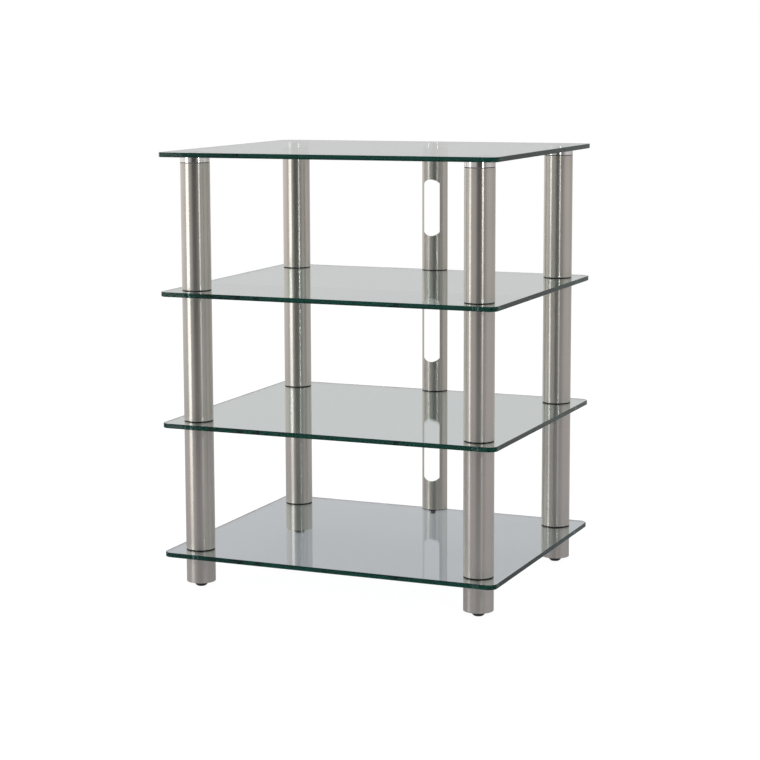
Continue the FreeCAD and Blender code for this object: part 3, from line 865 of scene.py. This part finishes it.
def addHexFlange(shape, centre):  # hexagon with turned-off corners, as a nut has
    low, high = foot["flangeLow"], foot["flangeHigh"]
    flats, bevel = foot["flangeFlats"] / 2, foot["flangeBevel"]
    rise, steps = bevel * foot["flangeSlope"], foot["flangeSteps"]
    levels = ((low, bevel), (low + rise, 0), (high - rise, 0), (high, bevel))
    rings = []
    for height, inset in levels:
        ring = []
        for i in range(steps):
            angle = math.tau * i / steps
            toFlat = angle % (math.pi / 3) - math.pi / 6
            side = flats / math.cos(toFlat)
            turned = flats / math.cos(math.pi / 6) - inset
            radius = min(side, turned)
            turnedAngle = angle + math.pi / 6
            ring.append(shape.verts.new((centre.x + radius * math.cos(turnedAngle),
                                         centre.y + radius * math.sin(turnedAngle), height)))
        rings.append(ring)
    for first, second in zip(rings, rings[1:]):
        for i in range(steps):
            j = (i + 1) % steps
            shape.faces.new((first[i], first[j], second[j], second[i]))
    shape.faces.new(rings[0][::-1])
    shape.faces.new(rings[-1])


def makeFootStud(corner):
    node = f"foot_stud_{corner}"
    low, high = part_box(node)
    centre = postCentres[corner]
    button, neck, flange = foot["buttonRadius"], foot["neckRadius"], foot["flangeLow"]
    shape = bmesh.new()
    turn(shape, [(0, foot["buttonLow"]), (button, foot["buttonLow"]),
                 (button, foot["buttonHigh"]), (neck, foot["buttonHigh"]),
                 (neck, flange), (0, flange)], centre, foot["steps"])
    addHexFlange(shape, centre)
    threaded = makeThreads(f"foot_thread_{corner}", foot["flangeHigh"], high.z,
                           foot["threadRadius"], foot["threadPoint"], centre, (0, 0), "foot_stud")
    shape.from_mesh(threaded.data)
    faceOutwards(shape)
    bpy.data.objects.remove(threaded)
    newPiece(f"levelling_stud_{corner}", shape, node, f"stud_{corner}", foot["sharp"])


pad = {
    "footRadius": 7 * mm,
    "rimRadius": 11.5 * mm,
    "shoulder": 5.6 * mm,
    "height": 6.8 * mm,
    "domeRadius": 8 * mm,
    "rimRound": 0.35 * mm,
    "mouth": 2.6 * mm,
    "roof": 4.4 * mm,
    "cavity": 4.1 * mm,
    "floor": 2.5 * mm,
    "domeSteps": 16,
    "steps": 96,
    "sharp": 40,
}


def makeFootPad(corner):  # domed pad, with the socket that the stud turns in
    start = Vector((pad["footRadius"], 0))
    end = Vector((pad["rimRadius"], pad["shoulder"]))
    chord = end - start
    offset = math.sqrt(pad["domeRadius"] ** 2 - chord.length ** 2 / 4)
    centre = (start + end) / 2 + Vector((-chord.y, chord.x)).normalized() * offset
    first = math.atan2(start.y - centre.y, start.x - centre.x)
    last = math.atan2(end.y - centre.y, end.x - centre.x)
    outline = [(0, 0)]
    for i in range(pad["domeSteps"] + 1):
        angle = first + (last - first) * i / pad["domeSteps"]
        outline.append((centre.x + pad["domeRadius"] * math.cos(angle),
                        max(0, centre.y + pad["domeRadius"] * math.sin(angle))))
    rim, edge, height = pad["rimRadius"], pad["rimRound"], pad["height"]
    outline += quarter((rim - edge, height - edge), edge, 0)
    outline += [(pad["mouth"], height), (pad["mouth"], pad["roof"]), (pad["cavity"], pad["roof"]),
                (pad["cavity"], pad["floor"]), (0, pad["floor"])]
    shape = bmesh.new()
    turn(shape, outline, postCentres[corner], pad["steps"])
    faceOutwards(shape)
    newPiece(f"domed_pad_{corner}", shape, f"foot_pad_{corner}", f"pad_{corner}", pad["sharp"])


for corner in corners:
    makeFootStud(corner)
    makeFootPad(corner)
print("feet made")


studio = {
    "ceiling": 0.75,
    "ceilingRise": (0.35, 0.85),  # how far up the walls turn into the ceiling
    "wallTint": (1.04, 1.0, 1.0),
    "floorColour": (0.60, 0.60, 0.605, 1),
    "fleckColour": (0.45, 0.45, 0.45, 1),
    "fleckShare": 0.06,
    "flecks": 300,
    "paintedShadeNear": (0.487, 0.468, 0.515, 1),  # painted glow that metal and glass see in place of the lit paper, darker near the rack as painted shade
    "paintedGlowFar": (0.64, 0.62, 0.62, 1),
    "floorRise": (0.3, 1.3),
    "floorWhite": 1.2,
    "floorShare": 0.8,
    "mirrorShare": 0.8,
    "floorFront": 1.5,
    "floorSides": 3.0,
    "floorBack": 4.0,
    "roundTheRoom": (  # degrees from the front towards the right, and brightness
        (-180, 0.64), (-168, 0.62), (-150, 0.64), (-125, 0.92), (-75, 0.97), (-52, 0.70),
        (-33, 0.54), (-12, 0.52), (-3, 0.30), (6, 0.09), (28, 0.07), (40, 0.22), (58, 0.30),
        (76, 0.62), (100, 0.68), (140, 0.52), (155, 0.48), (180, 0.64)),
}


def makeWorld():
    world = bpy.data.worlds.new("studio")
    bpy.context.scene.world = world
    world.use_nodes = True
    graph = Graph(world.node_tree)
    direction = graph.split(graph.add("ShaderNodeTexCoord").out("Generated"))
    across, away = direction.out("X"), direction.out("Y")
    turnFromFront = across.maths("ARCTAN2", away * -1) / math.tau + 0.5
    red, green, blue = studio["wallTint"]
    stops = [(angle / 360 + 0.5, (level * red, level * green, level * blue, 1))
             for angle, level in studio["roundTheRoom"]]
    walls = graph.add("ShaderNodeValToRGB", {"stops": stops}, {0: turnFromFront})
    up = graph.spread(direction.out("Z"), *studio["ceilingRise"])
    ceiling = (studio["ceiling"],) * 3 + (1,)
    room = graph.mixColour(up, walls, ceiling)
    seen = graph.add("ShaderNodeLightPath").out("Is Camera Ray")
    colour = graph.mixColour(seen, room, (1, 1, 1, 1))
    background = graph.add("ShaderNodeBackground", None, {"Color": colour, "Strength": 1})
    graph.add("ShaderNodeOutputWorld", None, {"Surface": background})


def floorFinish(graph):  # pale paper that the camera sees as white, with a faint shadow; metal and glass see a painted glow, darker near the rack as painted shade
    place = graph.objectPlace()
    flecks = graph.noise(place, studio["flecks"], detail=3, roughness=0.6)
    colour = graph.mixColour(flecks * studio["fleckShare"], studio["floorColour"],
                             studio["fleckColour"])
    paper = graph.add("ShaderNodeBsdfDiffuse", None, {"Color": colour})
    back = graph.spread(graph.split(place).out("Y"), *studio["floorRise"])
    # painted glow for metal and glass: brighter further back, darker near the rack as painted
    # shade
    paintedFloorGlow = graph.mixColour(back, studio["paintedShadeNear"], studio["paintedGlowFar"])
    glow = graph.add("ShaderNodeEmission", None, {"Color": paintedFloorGlow, "Strength": 1})
    white = graph.add("ShaderNodeEmission", None,
                      {"Color": (1, 1, 1, 1), "Strength": studio["floorWhite"]})
    path = graph.add("ShaderNodeLightPath")
    seen = path.out("Is Camera Ray") * studio["floorShare"]
    mirrored = path.out("Is Glossy Ray").maths("MAXIMUM", path.out("Is Transmission Ray"))
    lit = graph.add("ShaderNodeMixShader", None,
                    {0: mirrored * studio["mirrorShare"], 1: paper, 2: glow})
    return graph.add("ShaderNodeMixShader", None, {0: seen, 1: lit, 2: white}), None


def makeFloor():
    shape = bmesh.new()
    side, front, back = studio["floorSides"], -studio["floorFront"], studio["floorBack"]
    shape.faces.new([shape.verts.new((x, y, 0)) for x, y in
                     ((-side, front), (side, front), (side, back), (-side, back))])
    mesh = bpy.data.meshes.new("floor")
    shape.to_mesh(mesh)
    shape.free()
    mesh.materials.append(newMaterial("paperFloor", floorFinish))
    floor = bpy.data.objects.new("floor", mesh)
    bpy.context.scene.collection.objects.link(floor)


lamps = {  # metres and watts
    "softbox": {"ends": ((-0.66, -0.97), (-1.70, -1.30)), "low": 0.06, "high": 0.84,
                "power": 6.3, "throughGlass": False},
    "strip": {"ends": ((1.14, -1.07), (1.06, -1.17)), "low": 0.61, "high": 0.90,
              "power": 1.3, "throughGlass": True},
}


def makeLamp(name, ends, low, high, power, throughGlass):
    # upright rectangle between two places on the floor plan
    first, second = (Vector((*end, 0)) for end in ends)
    centre = (first + second) / 2 + Vector((0, 0, (low + high) / 2))
    along = (second - first).normalized()
    if along.cross(Vector((0, 0, 1))).dot(centre) < 0:  # it shines towards the rack
        along = -along
    data = bpy.data.lights.new(name, "AREA")
    data.shape = "RECTANGLE"
    data.size = (second - first).length
    data.size_y = high - low
    data.energy = power
    lamp = bpy.data.objects.new(name, data)
    axes = Matrix((along, Vector((0, 0, 1)), along.cross(Vector((0, 0, 1)))))
    lamp.matrix_world = Matrix.Translation(centre) @ axes.transposed().to_4x4()
    lamp.visible_camera = False
    lamp.visible_transmission = throughGlass
    bpy.context.scene.collection.objects.link(lamp)


makeWorld()
makeFloor()
for lampName, values in lamps.items():
    makeLamp(lampName, **values)
print("studio made")


view = {  # metres and radians, with the lens and sensor in millimetres
    "place": (1.389667, -3.335457, 0.915749),
    "turn": 0.42400554,
    "tilt": 0.14235699,
    "lean": -0.00739593,
    "lens": 99.351,
    "sensor": 36,
    "shift": (0.0789, -0.0395),
    "bounces": 32,  # light crosses a sheet of glass edge to edge
    "glossyBounces": 28,
    "transmissionBounces": 16,
}


def makeCamera():
    turnAngle, tilt, lean = view["turn"], view["tilt"], view["lean"]
    back = Vector((math.sin(turnAngle) * math.cos(tilt), -math.cos(turnAngle) * math.cos(tilt),
                   math.sin(tilt)))
    right = (-back).cross(Vector((0, 0, 1))).normalized()
    up = right.cross(-back)
    leaning = math.cos(lean) * right + math.sin(lean) * up
    upright = math.cos(lean) * up - math.sin(lean) * right
    data = bpy.data.cameras.new("camera")
    data.lens = view["lens"]
    data.sensor_width = view["sensor"]
    data.shift_x, data.shift_y = view["shift"]
    camera = bpy.data.objects.new("camera", data)
    axes = Matrix((leaning, upright, back)).transposed()
    camera.matrix_world = Matrix.Translation(view["place"]) @ axes.to_4x4()
    bpy.context.scene.collection.objects.link(camera)
    bpy.context.scene.camera = camera


makeCamera()
bpy.context.scene.view_settings.view_transform = "Standard"
bpy.context.scene.cycles.max_bounces = view["bounces"]
bpy.context.scene.cycles.glossy_bounces = view["glossyBounces"]
bpy.context.scene.cycles.transmission_bounces = view["transmissionBounces"]
print("camera set")
